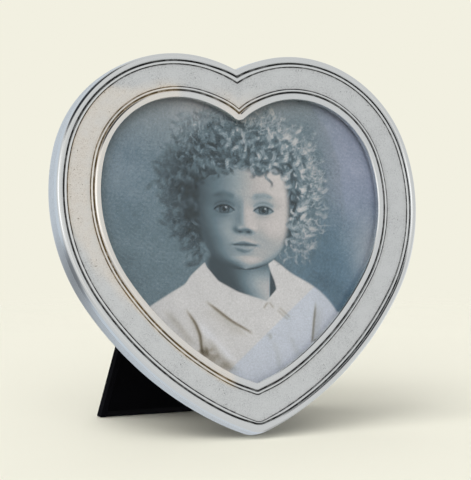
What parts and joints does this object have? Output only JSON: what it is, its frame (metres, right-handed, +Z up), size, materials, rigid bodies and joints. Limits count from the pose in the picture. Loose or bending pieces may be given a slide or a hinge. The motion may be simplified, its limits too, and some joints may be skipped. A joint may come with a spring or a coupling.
{
  "type": "heart shaped photo frame",
  "caption": "Heart shaped cast pewter photo frame with a stepped moulding, a glazed picture, a covered back and a hinged easel strut that lets it lean back on a table.",
  "frame": {"origin": "on the table, at the rear lower edge of the heart's tip, where the casting touches the table", "axes": "+X to the viewer's right along the strut's hinge, +Y to the rear where the strut stands, +Z up from the table"},
  "size_m": [0.1468, 0.0749, 0.142],
  "materials": {
    "pewter": "cast pewter, satin band and polished edges",
    "glass": "clear float glass",
    "print_paper": "toned photographic print",
    "card": "grey-brown backing card",
    "board": "dense greyboard",
    "velour": "black velour paper",
    "hinge_steel": "nickel-plated steel",
    "button_brass": "plain brass"
  },
  "bodies": {
    "frame": {"frame_casting": "pewter", "glass_pane": "glass", "photo_print": "print_paper", "backing_card": "card", "back_board": "board", "back_cover": "velour", "hinge_back_leaf": "hinge_steel", "hinge_back_rivets": "hinge_steel", "hinge_pin": "hinge_steel", "turn_button_washers": "hinge_steel", "turn_button_screws": "button_brass"},
    "strut": {"hinge_strut_leaf": "hinge_steel", "hinge_strut_rivets": "hinge_steel", "strut_board": "board", "strut_wrap": "velour", "strut_lining": "velour"},
    "turn_button_upper_left": {"turn_button_upper_left": "button_brass"},
    "turn_button_upper_right": {"turn_button_upper_right": "button_brass"},
    "turn_button_lower_left": {"turn_button_lower_left": "button_brass"},
    "turn_button_lower_right": {"turn_button_lower_right": "button_brass"}
  },
  "joints": [
    {"name": "strut_hinge", "type": "hinge", "parent": "frame", "child": "strut", "pos_m": [0, 0.01997, 0.10257], "axis": [-1, 0, 0], "range_deg": [0, 33]},
    {"name": "turn_button_upper_left_swivel", "type": "hinge", "parent": "frame", "child": "turn_button_upper_left", "pos_m": [-0.04391, 0.02184, 0.12779], "axis": [0, 0.9857, -0.1685], "continuous": true},
    {"name": "turn_button_upper_right_swivel", "type": "hinge", "parent": "frame", "child": "turn_button_upper_right", "pos_m": [0.04391, 0.02184, 0.12779], "axis": [0, 0.9857, -0.1685], "continuous": true},
    {"name": "turn_button_lower_left_swivel", "type": "hinge", "parent": "frame", "child": "turn_button_lower_left", "pos_m": [-0.04866, 0.00763, 0.04461], "axis": [0, 0.9857, -0.1685], "continuous": true},
    {"name": "turn_button_lower_right_swivel", "type": "hinge", "parent": "frame", "child": "turn_button_lower_right", "pos_m": [0.04866, 0.00763, 0.04461], "axis": [0, 0.9857, -0.1685], "continuous": true}
  ]
}
